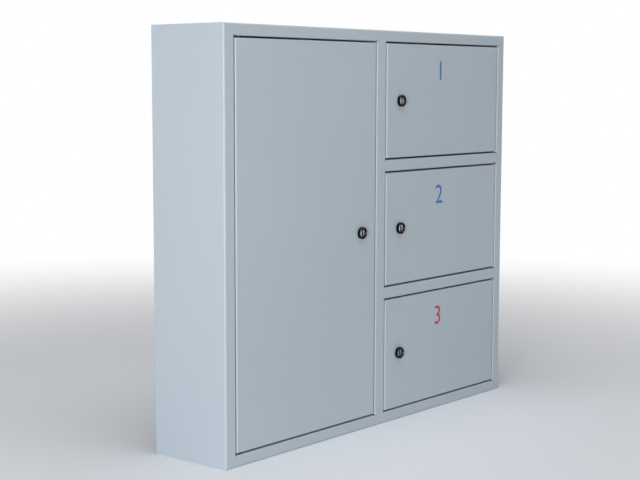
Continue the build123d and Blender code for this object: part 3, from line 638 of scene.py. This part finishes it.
@dataclass
class Patterns:
    """Geometry node trees for what repeats or winds."""

    steps_per_turn: int = 24
    ridge_sides: int = 4

    def __post_init__(self) -> None:
        """Build each tree once."""
        self.seats = self.build_seats()
        self.thread = self.build_thread()

    def start(self, name: str, inputs: dict[str, tuple]) -> tuple[Graph, Sockets]:
        """Start a tree that takes these inputs and a material, and gives geometry."""
        taken = {**inputs, "Material": ("Material", None)}
        return new_group(name, "GeometryNodeTree", taken, {"Geometry": "Geometry"})

    def end(self, graph: Graph, entry: Sockets, geometry: Socket) -> Tree:
        """End a tree with real geometry and its material.

        Args:
            graph: The tree.
            entry: The sockets that bring in its inputs.
            geometry: The geometry so far.

        Returns:
            The finished tree.
        """
        real = graph.add("GeometryNodeRealizeInstances", {0: geometry}).outputs[0]
        dressed = graph.add("GeometryNodeSetMaterial", {"Geometry": real, "Material": entry["Material"]})
        graph.add("NodeGroupOutput", {0: dressed.outputs[0]})
        return graph.tree

    def build_seats(self) -> Tree:
        """Copies of a unit on given seats, each turned by its own angles.

        Returns:
            The tree.
        """
        graph, entry = self.start("units_on_seats", {"Seats": ("Geometry", None), "Unit": ("Object", None)})
        turned = graph.add("GeometryNodeInputNamedAttribute", {"Name": TURN}, data_type="FLOAT_VECTOR")
        unit = graph.add("GeometryNodeObjectInfo", {"Object": entry["Unit"]}).outputs["Geometry"]
        copies = graph.add("GeometryNodeInstanceOnPoints", {"Points": entry["Seats"], "Instance": unit,
                                                            "Rotation": turned.outputs[0]})
        return self.end(graph, entry, copies.outputs[0])

    def build_thread(self) -> Tree:
        """A ridge that winds round +Z, such as a screw thread.

        Returns:
            The tree.
        """
        inputs = {"Radius": ("Float", 0.004), "Pitch": ("Float", 0.00125), "Length": ("Float", 0.02),
                  "Ridge": ("Float", 0.0004)}
        graph, entry = self.start("thread", inputs)
        inner = graph.math("SUBTRACT", entry["Radius"], entry["Ridge"])
        line = graph.add("GeometryNodeCurveSpiral", {
            "Resolution": self.steps_per_turn, "Height": entry["Length"], "Start Radius": inner,
            "End Radius": inner, "Rotations": graph.math("DIVIDE", entry["Length"], entry["Pitch"]),
        })
        ridge = graph.add("GeometryNodeCurvePrimitiveCircle", {"Resolution": self.ridge_sides,
                                                               "Radius": entry["Ridge"]})
        tube = graph.add("GeometryNodeCurveToMesh", {"Curve": line.outputs[0], "Fill Caps": True,
                                                     "Profile Curve": ridge.outputs[0]})
        return self.end(graph, entry, tube.outputs[0])

    def grow(self, name: str, tree: Tree, finish: Finish, values: dict[str, object],
             base: bpy.types.Mesh | None = None) -> Piece:
        """Run a tree and keep its result as a plain mesh.

        Args:
            name: The new piece's name.
            tree: The tree.
            finish: The finish that the tree sets.
            values: Values for its inputs, by name.
            base: The mesh that the tree starts from, where it has one.

        Returns:
            The piece, with no modifier.
        """
        piece = add_object(name, base or bpy.data.meshes.new(name))
        modifier = piece.modifiers.new("pattern", "NODES")
        modifier.node_group = tree
        sockets = {item.name: item.identifier for item in tree.interface.items_tree if item.in_out == "INPUT"}
        for label, value in {**values, "Material": finish.material()}.items():
            modifier[sockets[label]] = value
        bake(piece)
        return piece

    def copy(self, name: str, unit: Piece, finish: Finish, seats: list[Point],
             turns: list[Point] | None = None) -> Piece:
        """Set a copy of a unit on each seat.

        Args:
            name: The new piece's name.
            unit: The unit, which is then removed.
            finish: Its finish.
            seats: How far each copy is moved.
            turns: The angles that each copy is turned by, where it is turned.

        Returns:
            The copies as one piece.
        """
        points = bpy.data.meshes.new("seats")
        points.from_pydata(seats, [], [])
        turned = points.attributes.new(TURN, "FLOAT_VECTOR", "POINT")
        for place, angles in zip(turned.data, turns or []):
            place.vector = angles
        piece = self.grow(name, self.seats, finish, {"Unit": unit}, base=points)
        bpy.data.objects.remove(unit)
        return piece


PATTERNS = Patterns()


@dataclass(frozen=True)
class PanHeadScrew:
    """A domed screw with a cross recess and a threaded shank, standing on its own XY plane.

    The dome is given in shares of the head's radius and height, and the thread in shares of the pitch.
    """

    head_radius: float = 4.6 * MM
    head: float = 2.6 * MM
    dome: tuple[Pair, ...] = ((1.0, 0.0), (1.0, 0.55), (0.72, 1.0), (0.0, 1.0))
    dome_edge: float = 0.9 * MM
    shank_radius: float = 2.5 * MM
    shank: float = 3.2 * MM
    tip_share: float = 0.7
    pitch: float = 0.8 * MM
    root: float = 0.3
    crest: float = 0.8
    thread_depth: float = 0.25 * MM
    recess_reach: float = 0.55
    recess_depth: float = 1.5 * MM
    recess_width: float = 1.0 * MM
    recess_turn: float = 0.4

    def unit(self) -> Piece:
        """Build one screw.

        Returns:
            The screw, with its head on +Z and its shank below.
        """
        core = self.shank_radius - self.thread_depth
        profile = [(0.0, -self.shank), (core * self.tip_share, -self.shank)]
        for step in range(int(self.shank / self.pitch)):
            foot = -self.shank + step * self.pitch
            profile += [(core, foot + self.root * self.pitch),
                        (self.shank_radius, foot + self.crest * self.pitch)]
        dome = [(out * self.head_radius, up * self.head) for out, up in self.dome]
        shape = bmesh.new()
        turn(shape, profile + [(core, 0.0)] + rounded(dome, self.dome_edge, steps=4), Matrix(), sides=32)
        screw = to_piece("screw_unit", shape, ZINC_PLATE)
        arm = rectangle(self.recess_reach * 2 * self.head_radius, self.recess_width)
        for angle in (self.recess_turn, self.recess_turn + math.pi / 2):
            cutter = bmesh.new()
            prism(cutter, arm, self.head - self.recess_depth, self.head + MM, Matrix.Rotation(angle, 4, "Z"))
            screw = carve(screw, to_piece("recess_arm", cutter, ZINC_PLATE))
        return screw


@dataclass
class Cabinet:
    """The folded cabinet with its welded back, partition and shelves."""

    sheets: tuple[str, ...] = ("cabinet_shell", "back_panel", "strike_strip", "partition", "shelf_upper",
                               "shelf_lower", "adapter_panel")
    plated: tuple[str, ...] = ("gland_plate", "clamp_bar", "cable_clamps", "splitter_bracket_1",
                               "splitter_bracket_2", "splitter_bracket_3", "wing_nuts", "earth_nut")

    def build(self) -> None:
        """Dress the sheets, the plated pieces, the hinge pins and the edge frames."""
        dress(POWDER_COAT, *self.sheets)
        dress(ZINC_PLATE, *self.plated)
        # The hinge pins are darkened as painted shade in the gaps.
        dress(PIN_STEEL_AND_SHADE, "hinge_pins")
        dress(BLACK_RUBBER, "pass_frames")


@dataclass
class CableEntry:
    """The rubber grommets that the cables come in through."""

    trunk_hole: float = 12.0 * MM
    trunk_bore: float = 10.0 * MM
    drop_bore: float = 5.0 * MM
    lip: float = 3.0 * MM
    under: float = 1.0 * MM
    plate: float = 2.0 * MM
    collar: float = 0.8 * MM
    shoulder: Pair = (1.2 * MM, 0.9 * MM)
    ridge: Pair = (0.9 * MM, 0.1 * MM)
    ridges: int = 3
    wall: float = 2.0 * MM
    edge: float = 0.35 * MM

    def build(self) -> None:
        """Build the grommets with a ridged nose."""
        shape = bmesh.new()
        for low, high in loose_boxes("cable_grommets"):
            hole = (high.x - low.x) / 2 - self.lip
            bore = self.trunk_bore if hole > self.trunk_hole else self.drop_bore
            top = high.z - low.z - self.under
            brim = hole + self.lip
            section = [(bore, -self.under), (brim, -self.under), (brim, 0.0), (hole, 0.0), (hole, self.plate),
                       (brim, self.plate), (brim, self.plate + self.collar)]
            slope_start = Vector((brim - self.shoulder[0], self.plate + self.shoulder[1]))
            slope_end = Vector((bore + self.wall, top))
            for step in range(self.ridges + 1):
                spot = slope_start.lerp(slope_end, step / (self.ridges + 0.5))
                section += [(spot.x, spot.y), (spot.x - self.ridge[0], spot.y + self.ridge[1])]
            section += [(bore + self.wall, top), (bore, top)]
            seat = Matrix.Translation(((low.x + high.x) / 2, (low.y + high.y) / 2, low.z + self.under))
            turn(shape, rounded(section, self.edge, closed=True, steps=2), seat, closed=True)
        hand_over(to_piece("ridged_grommets", shape, BLACK_RUBBER), CABINET, Slot.RUBBER, "cable_grommets")


@dataclass
class Fasteners:
    """Screws and studs of the cabinet."""

    screw: PanHeadScrew = PanHeadScrew()
    screw_twist: float = 0.7
    roundness: float = 0.1 * MM
    stud_core: float = 3.5 * MM
    stud_pitch: float = 1.25 * MM
    stud_ridge: float = 0.45 * MM
    point: float = 0.8 * MM

    def build(self) -> None:
        """Build the screws and the earthing stud, and dress the tray studs."""
        self.build_screws()
        self.build_stud()
        dress(ZINC_PLATE, "tray_studs")

    def build_screws(self) -> None:
        """Set a pan-head screw on each screw's seat: upright where its box is round from above."""
        seats, turns = [], []
        for low, high in loose_boxes("pan_head_screws"):
            heart = (low + high) / 2
            if abs((high.x - low.x) - (high.y - low.y)) < self.roundness:
                turns.append((0.0, 0.0, self.screw_twist * len(seats)))
                seats.append((heart.x, heart.y, high.z - self.screw.head))
            else:
                turns.append((math.pi / 2, 0.0, 0.0))
                seats.append((heart.x, low.y + self.screw.head, heart.z))
        screws = PATTERNS.copy("cross_screws", self.screw.unit(), ZINC_PLATE, seats, turns)
        hand_over(screws, CABINET, Slot.ZINC, "pan_head_screws")

    def build_stud(self) -> None:
        """Build the earthing stud with its thread."""
        low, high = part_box("earth_stud")
        heart = middle("earth_stud")
        length = high.y - low.y
        place = facing_front(heart.x, high.y, heart.z)
        profile = [(0.0, 0.0), (self.stud_core, 0.0), (self.stud_core, length - self.point),
                   (self.stud_core - self.point, length), (0.0, length)]
        shape = bmesh.new()
        turn(shape, profile, place)
        hand_over(to_piece("earth_stud_core", shape, ZINC_PLATE), CABINET, Slot.ZINC, "earth_stud")
        values = {"Radius": (high.x - low.x) / 2, "Pitch": self.stud_pitch, "Ridge": self.stud_ridge,
                  "Length": length - 2 * self.point - self.stud_pitch}
        thread = PATTERNS.grow("earth_stud_thread", PATTERNS.thread, ZINC_PLATE, values)
        thread.data.transform(place @ Matrix.Translation((0, 0, self.stud_pitch)))
        hand_over(thread, CABINET, Slot.ZINC)


@dataclass
class FibreDeck:
    """Splice trays, winding spools, and the adapters with their dust caps."""

    count: int = 12
    body: Block = Block((9.2, 13.0), (-14.0, 12.0), edge=0.35)
    flange: Block = Block((12.0, 22.0), (0.0, 2.0), edge=0.4)
    grip: Block = Block((0.5, 6.0), (3.6, 4.8), edge=0.15, segments=1, across=(-4.55, 4.55),
                        out=(0.0, 2.6, 5.2))
    latch: Block = Block((5.0, 0.5), (3.0, 11.0), edge=0.15, segments=1, up=(-6.5, 6.5))
    rivet: tuple[Pair, ...] = ((0.0, 0.05 * MM), (1.2 * MM, 0.05 * MM), (1.5 * MM, 0.0))
    rivet_seats: tuple[Point, ...] = ((0.0, -9.0 * MM, 2.0 * MM), (0.0, 9.0 * MM, 2.0 * MM))
    cap: Block = Block((7.4, 11.2), (-5.0, 5.0), edge=0.6, segments=3)
    cap_foot: Block = Block((8.4, 12.2), (0.0, 1.0), edge=0.3)
    cap_rib: Block = Block((0.8, 0.9), (1.2, 4.4), edge=0.2, segments=1, across=(-3.7, 3.7),
                           up=(-4.0, -2.0, 0.0, 2.0, 4.0))

    def build(self) -> None:
        """Dress the mouldings and build the adapter row."""
        dress(TRAY_PLASTIC, "splice_tray_1", "splice_tray_2", "splice_tray_3", "winding_spools")
        adapter, cap = bmesh.new(), bmesh.new()
        add_blocks(adapter, Matrix(), self.body, self.flange, self.grip, self.latch)
        for seat in self.rivet_seats:
            turn(adapter, self.rivet, Matrix.Translation(seat), sides=16)
        self.build_row("fibre_adapters", "adapter_row", adapter, self.body.ends[1], ADAPTER_PLASTIC)
        add_blocks(cap, Matrix(), self.cap, self.cap_foot, self.cap_rib)
        self.build_row("dust_caps", "cap_row", cap, self.cap.ends[1], CAP_PLASTIC)

    def build_row(self, node: str, name: str, shape: Shape, front: float, finish: Finish) -> None:
        """Repeat an adapter or a cap along the row of a node.

        Args:
            node: The node that holds the row.
            name: The new piece's name.
            shape: One adapter or cap, about its own place.
            front: How far it reaches out of that place, in millimetres.
            finish: Its finish.
        """
        boxes = loose_boxes(node)
        low, high = boxes[0]
        pitch = (boxes[-1][0].x - low.x) / (self.count - 1)
        heart = (low + high) / 2
        shape.transform(facing_front(heart.x, low.y + front * MM, heart.z))
        steps = [(pitch * index, 0.0, 0.0) for index in range(self.count)]
        row = PATTERNS.copy(name, to_piece(f"{name}_unit", shape, finish), finish, steps)
        hand_over(row, CABINET, finish.slot, node)


@dataclass
class SplitterModule:
    """One splitter cassette with its row of capped ports."""

    number: int
    case: Block = Block((130.0, 26.0), (-76.0, 0.0), edge=0.8)
    flange: Block = Block((150.0, 31.0), (0.0, 2.5), edge=0.5)
    rib: Block = Block((2.2, 1.0), (-60.0, -12.0), edge=0.3, segments=1, up=(13.0,),
                       across=tuple(side * (12.0 + 7.0 * step) for side in (-1, 1) for step in range(6)))
    knob: tuple[Pair, ...] = ((0.0, 0.0), (3.2 * MM, 0.0), (3.2 * MM, 2.4 * MM), (0.0, 2.4 * MM))
    knob_edge: float = 0.5 * MM
    knob_seats: tuple[Point, ...] = ((-70.0 * MM, 0.0, 2.5 * MM), (70.0 * MM, 0.0, 2.5 * MM))
    ports: int = 9
    pitch: float = 13.8 * MM
    port: Block = Block((9.2, 13.0), (0.0, 10.0), edge=0.35)
    latch: Block = Block((5.0, 0.5), (1.0, 9.0), edge=0.15, segments=1, up=(-6.4, 6.4))
    cap: Block = Block((7.6, 11.4), (10.0, 15.0), edge=0.6, segments=3)
    cap_foot: Block = Block((8.4, 12.2), (10.0, 11.0), edge=0.3)

    def build(self) -> None:
        """Build the case, its ports and their caps."""
        node = f"splitter_module_{self.number}"
        _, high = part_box(node)
        heart = middle(node)
        place = facing_front(heart.x, high.y + self.case.ends[0] * MM, heart.z)
        shape = bmesh.new()
        add_blocks(shape, place, self.case, self.flange, self.rib)
        for seat in self.knob_seats:
            turn(shape, rounded(self.knob, self.knob_edge), place @ Matrix.Translation(seat), sides=24)
        hand_over(to_piece(f"splitter_case_{self.number}", shape, MODULE_PLASTIC), CABINET, Slot.MODULE, node)
        first = place @ Matrix.Translation((-(self.ports - 1) / 2 * self.pitch, 0, self.flange.ends[1] * MM))
        steps = [(self.pitch * index, 0.0, 0.0) for index in range(self.ports)]
        for name, finish, blocks in (("ports", ADAPTER_PLASTIC, (self.port, self.latch)),
                                     ("port_caps", CAP_PLASTIC, (self.cap, self.cap_foot))):
            shape = bmesh.new()
            add_blocks(shape, first, *blocks)
            unit = to_piece(f"{name}_unit", shape, finish)
            row = PATTERNS.copy(f"splitter_{name}_{self.number}", unit, finish, steps)
            hand_over(row, CABINET, finish.slot)


@dataclass
class CamLock:
    """The cam lock of one door: head and barrel, plug with its key slot, two bright lands that paint the
    plug's reflections, cam and screw.
    """

    door: str
    head: float = 5.0 * MM
    head_radius: float = 9.0 * MM
    head_edge: float = 0.5 * MM
    chamfer: Pair = (0.9 * MM, 1.0 * MM)
    mouth_radius: float = 7.5 * MM
    mouth_step: Pair = (0.3 * MM, 0.1 * MM)
    bore: float = 6.06 * MM
    barrel: float = 16.5 * MM
    barrel_radius: float = 8.0 * MM
    barrel_flat: float = 7.0 * MM
    overlap: float = 0.2 * MM
    plug_radius: float = 6.0 * MM
    plug_face: float = 2.8 * MM
    plug_end: float = 17.7 * MM
    plug_edge: float = 0.35 * MM
    tail: Pair = (7.0 * MM, 7.0 * MM)
    tail_edge: float = 0.2 * MM
    cam_sheet: float = 2.0 * MM
    key_slot: Pair = (1.6 * MM, 7.5 * MM)
    slot_depth: float = 3.3 * MM
    land_radius: float = 5.7 * MM
    land_gap: float = 4.8 * MM
    land: float = 0.4 * MM
    land_sink: float = 0.05 * MM
    land_edge: float = 0.25 * MM
    land_steps: int = 6
    cam_screw: PanHeadScrew = PanHeadScrew(head_radius=5.5 * MM, head=2.4 * MM, shank_radius=2.0 * MM,
                                           shank=2.0 * MM)

    def __post_init__(self) -> None:
        """Find the lock's axis, from the skin outwards."""
        heart = middle(f"{self.door}_lock_body")
        self.place = facing_front(heart.x, -SKIN, heart.z)

    def build(self) -> None:
        """Build what stays with the leaf and what turns with the key."""
        leaf, lock = (self.door.replace("door", word) for word in ("leaf", "lock"))
        dress(ZINC_PLATE, f"{self.door}_lock_nut", f"{self.door}_lock_cam")
        hand_over(self.shell(), leaf, Slot.LOCK, f"{self.door}_lock_body")
        hand_over(self.plug(), lock, Slot.LOCK, f"{self.door}_lock_plug")
        # The lands' bright metal is a painted reflection on the plug.
        hand_over(self.lands(), lock, Slot.LOCK)
        hand_over(self.screw(), lock, Slot.ZINC, f"{self.door}_cam_screw")

    def shell(self) -> Piece:
        """Build the lock's head, whose mouth narrows to the plug, and its flatted barrel.

        Returns:
            The piece.
        """
        step_out, step_up = self.mouth_step
        brim, rise = self.chamfer
        head = [(self.bore, step_out), (self.head_radius, 0.0), (self.head_radius, self.head - rise),
                (self.head_radius - brim, self.head), (self.mouth_radius, self.head),
                (self.bore + step_out, self.plug_face + step_up), (self.bore, self.plug_face)]
        barrel = [(self.bore, -self.barrel), (self.barrel_radius, -self.barrel),
                  (self.barrel_radius, self.overlap), (self.bore, self.overlap)]
        shape = bmesh.new()
        turn(shape, rounded(head, self.head_edge, closed=True), self.place, closed=True, sides=64)
        turn(shape, barrel, self.place, closed=True, flat=self.barrel_flat)
        return to_piece(f"{self.door}_lock_shell", shape, LOCK_SHELL)

    def plug(self) -> Piece:
        """Build the turning plug with its key slot and square tail.

        Returns:
            The piece.
        """
        floor = self.plug_face - self.land
        face = rounded([(0.0, -self.plug_end), (self.plug_radius, -self.plug_end),
                        (self.plug_radius, floor), (0.0, floor)], self.plug_edge)
        shape = bmesh.new()
        turn(shape, face, self.place, sides=64)
        prism(shape, rectangle(*self.tail), -self.plug_end - self.cam_sheet, -self.plug_end,
              self.place, self.tail_edge, segments=1)
        plug = to_piece(f"{self.door}_lock_core", shape, LOCK_PLUG)
        key = bmesh.new()
        prism(key, rectangle(*self.key_slot), self.plug_face - self.slot_depth,
              self.plug_face + MM, self.place)
        return carve(plug, to_piece("key_slot", key, LOCK_PLUG))

    def lands(self) -> Piece:
        """Build the two raised lands beside the key slot, in bright metal that paints the plug's reflections.

        Returns:
            The piece.
        """
        reach = math.acos(self.land_gap / 2 / self.land_radius)
        foot = self.plug_face - self.land - self.land_sink
        shape = bmesh.new()
        for side in (0.0, math.pi):
            angles = [side + reach * (step / self.land_steps - 1) for step in range(2 * self.land_steps + 1)]
            arc = [tuple(self.land_radius * part(angle) for part in (math.cos, math.sin)) for angle in angles]
            prism(shape, arc, foot, self.plug_face, self.place, self.land_edge)
        return to_piece(f"{self.door}_lock_lands", shape, LOCK_GLINT_LAND)

    def screw(self) -> Piece:
        """Build the screw behind the cam.

        Returns:
            The piece.
        """
        unit = self.cam_screw.unit()
        unit.name = f"{self.door}_cross_screw"
        seat = Matrix.Translation((0, 0, -self.plug_end - self.cam_sheet)) @ Matrix.Rotation(math.pi, 4, "X")
        unit.data.transform(self.place @ seat)
        return unit


@dataclass
class Door:
    """One door leaf with its knuckles, its cam lock and the number printed on it."""

    name: str
    mark: str = ""
    ink: Finish = BLUE_INK
    mark_height: float = 30.0 * MM
    mark_lift: float = 0.03 * MM
    mark_place: Pair = (0.46, 0.76)
    numeral_share: float = 0.7

    def build(self) -> None:
        """Dress the leaf and build its lock and number."""
        dress(POWDER_COAT, self.name)
        dress(ZINC_PLATE, f"{self.name}_knuckles")
        CamLock(self.name).build()
        if self.mark:
            hand_over(self.number(), self.name.replace("door", "leaf"), Slot.SHEET)

    def number(self) -> Piece:
        """Print the compartment's number on the upper part of the leaf.

        Returns:
            The piece.
        """
        name = f"{self.name}_number"
        curve = bpy.data.curves.new(name, "FONT")
        curve.body = self.mark
        curve.size = self.mark_height / self.numeral_share
        curve.align_x = curve.align_y = "CENTER"
        curve.extrude = self.mark_lift / 2
        printed = add_object(name, curve)
        mesh = final_mesh(printed)
        bpy.data.objects.remove(printed)
        low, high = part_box(self.name)
        across, up = self.mark_place
        mesh.transform(facing_front(low.x + across * (high.x - low.x), -SKIN - self.mark_lift / 2,
                                    low.z + up * (high.z - low.z)))
        mesh.materials.clear()
        mesh.materials.append(self.ink.material())
        return add_object(name, mesh)


@dataclass
class Studio:
    """Pale floor, soft lamps and the camera."""

    floor_z: float = -0.3
    reach: float = 9.0
    floor_colour: Colour = (0.88, 0.91, 0.95)
    floor_roughness: float = 0.8
    floor_specular: float = 0.2
    fade: Pair = (0.45, 2.2)
    sky: float = 0.12
    sky_colour: Colour = (1.0, 0.97, 0.98)
    key: tuple[Point, float, float] = ((-2.75, -1.38, 0.1), 0.8, 46.5)
    fill: tuple[Point, float, float] = ((-0.4, -0.6, 2.8), 2.4, 53.0)
    camera_place: Point = (-1.6742, -1.4052, 0.2198)
    camera_back: Point = (-0.75867, -0.64031, 0.12008)
    camera_up: Point = (0.09085, 0.07853, 0.99276)
    lens: float = 78.41
    sensor: float = 36.0
    shift: Pair = (0.02, 0.02)
    nearest: float = 0.05

    def build(self) -> None:
        """Set the floor, the sky, the lamps and the camera."""
        self.build_floor()
        self.build_sky()
        self.add_lamp("key_lamp", *self.key)
        self.add_lamp("fill_lamp", *self.fill)
        self.build_camera()

    def build_floor(self) -> None:
        """Lay the floor, which turns to plain white far away where it is seen."""
        outline = rectangle(2 * self.reach, 2 * self.reach)
        mesh = bpy.data.meshes.new("floor")
        mesh.from_pydata([(x, y, self.floor_z) for x, y in outline], [], [(0, 1, 2, 3)])
        material = bpy.data.materials.new("pale_floor")
        material.use_nodes = True
        graph = Graph(material.node_tree)
        surface = graph.add("ShaderNodeBsdfPrincipled", {
            "Base Color": (*self.floor_colour, 1), "Roughness": self.floor_roughness,
            "Specular IOR Level": self.floor_specular,
        })
        white = graph.add("ShaderNodeEmission", {"Color": (1, 1, 1, 1), "Strength": 1.0})
        flat = graph.add("ShaderNodeMapping", {"Vector": graph.here(), "Scale": (1, 1, 0)}).outputs[0]
        away = graph.add("ShaderNodeVectorMath", {0: flat}, operation="LENGTH").outputs["Value"]
        far = graph.add("ShaderNodeMapRange", {0: away, 1: self.fade[0], 2: self.fade[1]},
                        interpolation_type="SMOOTHSTEP").outputs[0]
        share = graph.math("MULTIPLY", far, self.seen(graph))
        both = graph.add("ShaderNodeMixShader", {0: share, 1: surface.outputs[0], 2: white.outputs[0]})
        graph.add("ShaderNodeOutputMaterial", {"Surface": both.outputs[0]})
        mesh.materials.append(material)
        add_object("floor", mesh)

    def build_sky(self) -> None:
        """Set a plain even light all round, white where it is seen."""
        world = bpy.data.worlds.new("studio")
        bpy.context.scene.world = world
        world.use_nodes = True
        graph = Graph(world.node_tree)
        light, white = (
            graph.add("ShaderNodeBackground", {"Color": (*colour, 1), "Strength": strength}).outputs[0]
            for colour, strength in ((self.sky_colour, self.sky), ((1, 1, 1), 1.0)))
        both = graph.add("ShaderNodeMixShader", {0: self.seen(graph), 1: light, 2: white}).outputs[0]
        graph.add("ShaderNodeOutputWorld", {"Surface": both})

    def seen(self, graph: Graph) -> Socket:
        """Tell where the camera, a gloss or a glass looks.

        Args:
            graph: The tree that asks.

        Returns:
            1 where it is seen, else 0.
        """
        rays = graph.add("ShaderNodeLightPath").outputs
        direct = graph.math("MAXIMUM", rays["Is Camera Ray"], rays["Is Glossy Ray"])
        return graph.math("MAXIMUM", direct, rays["Is Transmission Ray"])

    def add_lamp(self, name: str, place: Point, size: float, watts: float) -> None:
        """Add a soft lamp that points at the cabinet's middle.

        Args:
            name: The lamp's name.
            place: Where it stands.
            size: Side of its square, in metres.
            watts: Its power.
        """
        light = bpy.data.lights.new(name, "AREA")
        light.shape = "SQUARE"
        light.size = size
        light.energy = watts
        lamp = add_object(name, light)
        turned = Vector(place).to_track_quat("Z", "Y").to_matrix().to_4x4()
        lamp.matrix_world = Matrix.Translation(place) @ turned
        lamp.visible_camera = False

    def build_camera(self) -> None:
        """Stand the camera at the photograph's angle."""
        data = bpy.data.cameras.new("camera")
        data.lens = self.lens
        data.sensor_width = self.sensor
        data.shift_x, data.shift_y = self.shift
        data.clip_start = self.nearest
        back = Vector(self.camera_back).normalized()
        right = Vector(self.camera_up).cross(back).normalized()
        turned = Matrix((right, back.cross(right), back)).transposed().to_4x4()
        camera = add_object("camera", data)
        camera.matrix_world = Matrix.Translation(self.camera_place) @ turned
        bpy.context.scene.camera = camera


def main() -> None:
    """Build every sub-assembly, then the studio, and note the sizes."""
    logging.basicConfig(level=logging.INFO, format="%(message)s")
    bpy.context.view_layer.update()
    bpy.context.scene.view_settings.view_transform = "Standard"
    parts = [Cabinet(), CableEntry(), Fasteners(), FibreDeck()]
    parts += [SplitterModule(number) for number in (1, 2, 3)]
    parts += [Door("large_door"), Door("small_door_1", "1"), Door("small_door_2", "2"),
              Door("small_door_3", "3", RED_INK)]
    for part in parts:
        part.build()
    Studio().build()


if __name__ == "__main__":
    main()
